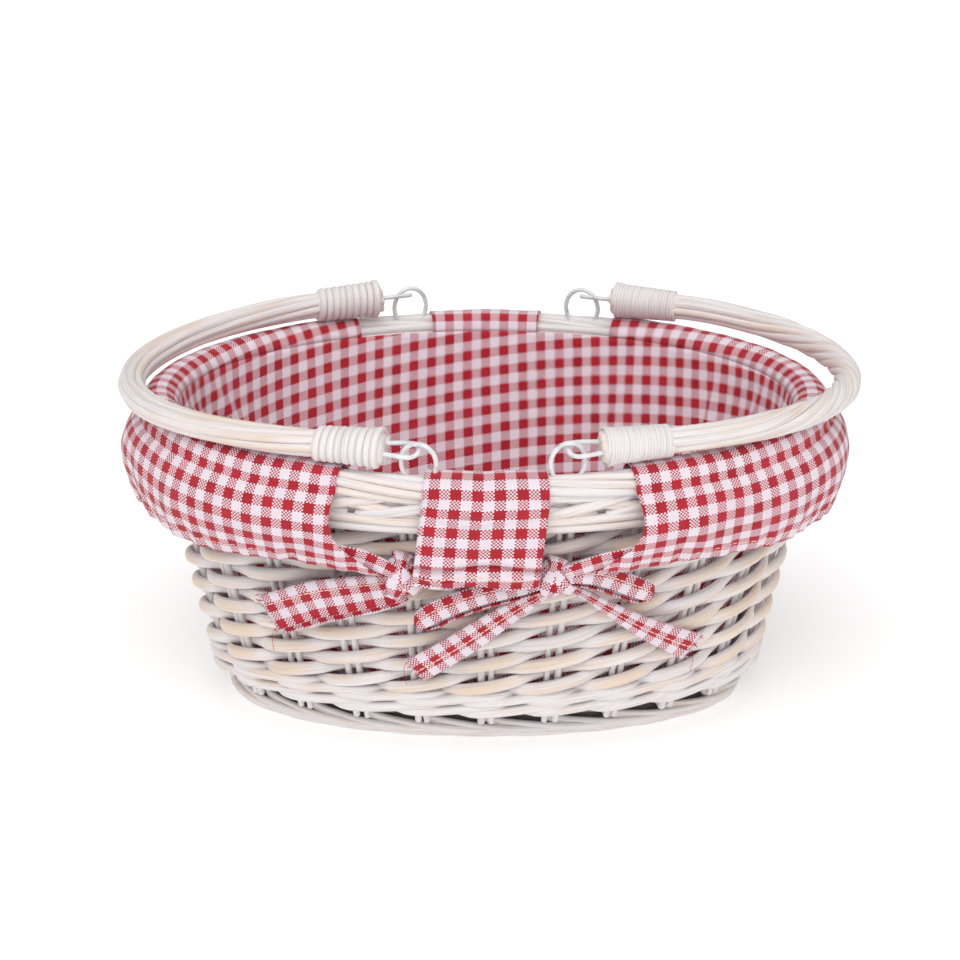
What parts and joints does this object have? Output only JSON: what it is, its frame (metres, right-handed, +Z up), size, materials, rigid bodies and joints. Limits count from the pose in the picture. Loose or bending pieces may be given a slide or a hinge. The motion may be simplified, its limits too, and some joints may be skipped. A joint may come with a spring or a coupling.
{
  "type": "wicker picnic basket",
  "caption": "Oval open willow basket with a flared woven wall, rolled border, checked cloth lining folded over the rim, bow ties and swing handles hung from wire rings.",
  "frame": {"origin": "on the ground, under the middle of the basket's bounding box", "axes": "+X along the length of the oval, +Z up out of the open mouth, -Y the front with the first pair of ties"},
  "size_m": [0.3703, 0.2572, 0.1806],
  "materials": {
    "willow": "whitewashed willow, rubbed",
    "cane": "whitewashed wound cane",
    "wire": "white painted wire, chipped",
    "gingham": "woven cotton gingham, red and white",
    "gingham_ties": "woven cotton gingham strip, stitched, frayed ends"
  },
  "bodies": {
    "root": {"foot_border": "willow", "base_mat": "willow", "upright_stakes": "willow", "lower_wale_1": "willow", "lower_wale_2": "willow", "rim_border": "willow", "weave_row_01": "willow", "weave_row_02": "willow", "weave_row_03": "willow", "weave_row_04": "willow", "weave_row_05": "willow", "weave_row_06": "willow", "weave_row_07": "willow", "weave_row_08": "willow", "weave_row_09": "willow", "weave_row_10": "willow", "weave_row_11": "willow", "weave_row_12": "willow", "weave_row_13": "willow", "weave_row_14": "willow", "rim_ring_left_front": "wire", "rim_ring_left_back": "wire", "rim_ring_right_front": "wire", "rim_ring_right_back": "wire", "lining_wall": "gingham", "lining_floor": "gingham", "skirt_left": "gingham", "skirt_right": "gingham", "tab_front": "gingham", "tab_back": "gingham", "knot_front_a": "gingham_ties", "knot_front_b": "gingham_ties", "tie_front_a": "gingham_ties", "loop_front_b_inner": "gingham_ties", "tail_front_b_inner": "gingham_ties", "loop_front_b_outer": "gingham_ties", "tail_front_b_outer": "gingham_ties", "knot_back_a": "gingham_ties", "knot_back_b": "gingham_ties", "tie_back_a": "gingham_ties", "loop_back_b_inner": "gingham_ties", "tail_back_b_inner": "gingham_ties", "loop_back_b_outer": "gingham_ties", "tail_back_b_outer": "gingham_ties"},
    "left_handle": {"left_handle_rods": "willow", "binding_left_front": "cane", "binding_left_back": "cane", "handle_eye_left_front": "wire", "handle_eye_left_back": "wire"},
    "right_handle": {"right_handle_rods": "willow", "binding_right_front": "cane", "binding_right_back": "cane", "handle_eye_right_front": "wire", "handle_eye_right_back": "wire"}
  },
  "joints": [
    {"name": "left_handle_swing", "type": "hinge", "parent": "root", "child": "left_handle", "pos_m": [-0.0355, -0.00063, 0.1719], "axis": [-0.0358, 0.9994, 0], "range_deg": [0, 100]},
    {"name": "right_handle_swing", "type": "hinge", "parent": "root", "child": "right_handle", "pos_m": [0.04455, -0.00124, 0.1719], "axis": [-0.0558, -0.9984, 0], "range_deg": [0, 100]}
  ]
}
